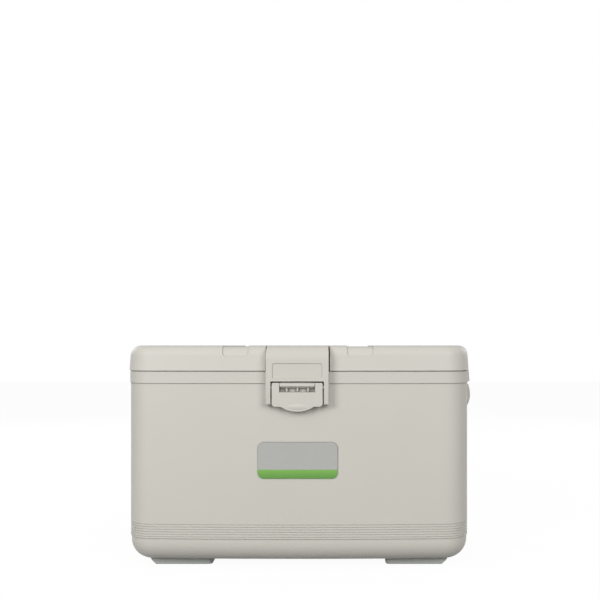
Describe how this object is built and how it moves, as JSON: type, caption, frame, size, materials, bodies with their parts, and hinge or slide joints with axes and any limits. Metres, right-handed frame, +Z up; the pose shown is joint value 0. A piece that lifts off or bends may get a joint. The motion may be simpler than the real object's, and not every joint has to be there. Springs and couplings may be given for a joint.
{
  "type": "specimen transport box",
  "caption": "Insulated specimen transport box with a foam-filled case, hinged lid, spring-loaded front latch, inner tub and swinging side handles.",
  "frame": {"origin": "on the floor, in the middle of the case in width and in depth", "axes": "+Z up, the front with the latch faces -Y, +X to the right of someone facing away from the box, which is the right of the picture"},
  "size_m": [0.503, 0.3172, 0.3105],
  "materials": {
    "case_plastic": "moulded, fine texture",
    "lid_plastic": "moulded, fine texture",
    "liner_plastic": "smooth, easily wiped",
    "foam": "closed-cell foam",
    "foot_plastic": "matt",
    "handle_plastic": "moulded, fine texture",
    "bracket_plastic": "moulded",
    "hinge_plastic": "moulded",
    "latch_plastic": "moulded, fine texture",
    "keeper_plastic": "moulded",
    "badge": "blank, satin",
    "screw_steel": "bright",
    "pin_steel": "ground",
    "spring_steel": "rolled strip",
    "gasket_rubber": "soft"
  },
  "bodies": {
    "case": {"outer_shell": "case_plastic", "body_insulation": "foam", "inner_liner": "liner_plastic", "rim_collar": "case_plastic", "foot_front_left": "foot_plastic", "foot_front_right": "foot_plastic", "foot_rear_left": "foot_plastic", "foot_rear_right": "foot_plastic", "foot_screws": "screw_steel", "latch_keeper": "keeper_plastic", "keeper_screws": "screw_steel", "badge_plate": "badge", "left_handle_bracket": "bracket_plastic", "right_handle_bracket": "bracket_plastic", "handle_screws": "screw_steel", "left_handle_pins": "pin_steel", "right_handle_pins": "pin_steel", "left_hinge_base": "hinge_plastic", "right_hinge_base": "hinge_plastic", "hinge_base_screws": "screw_steel", "left_hinge_pin": "pin_steel", "right_hinge_pin": "pin_steel"},
    "lid": {"lid_shell": "lid_plastic", "lid_insulation": "foam", "lid_inner_panel": "liner_plastic", "lid_gasket": "gasket_rubber", "left_hinge_leaf": "hinge_plastic", "right_hinge_leaf": "hinge_plastic", "hinge_leaf_screws": "screw_steel", "latch_bracket": "hinge_plastic", "latch_bracket_screws": "screw_steel", "latch_arm_pin": "pin_steel"},
    "latch_arm": {"latch_arm": "latch_plastic", "lever_pins": "pin_steel", "lever_springs": "spring_steel"},
    "latch_lever": {"latch_lever": "latch_plastic"},
    "left_handle": {"left_handle": "handle_plastic"},
    "right_handle": {"right_handle": "handle_plastic"}
  },
  "joints": [
    {"name": "lid_hinge", "type": "hinge", "parent": "case", "child": "lid", "pos_m": [0, 0.153, 0.275], "axis": [-1, 0, 0], "range_deg": [0, 100]},
    {"name": "latch_arm_hinge", "type": "hinge", "parent": "lid", "child": "latch_arm", "pos_m": [0, -0.1, 0.3035], "axis": [-1, 0, 0], "range_deg": [0, 90]},
    {"name": "latch_lever_hinge", "type": "hinge", "parent": "latch_arm", "child": "latch_lever", "pos_m": [0, -0.153, 0.2535], "axis": [-1, 0, 0], "range_deg": [0, 30], "stiffness_Nm_per_rad": 0.35, "deforming": ["lever_springs"]},
    {"name": "left_handle_swing", "type": "hinge", "parent": "case", "child": "left_handle", "pos_m": [-0.2455, 0, 0.2506], "axis": [0, 1, 0], "range_deg": [0, 85]},
    {"name": "right_handle_swing", "type": "hinge", "parent": "case", "child": "right_handle", "pos_m": [0.2455, 0, 0.2506], "axis": [0, -1, 0], "range_deg": [0, 85]}
  ]
}
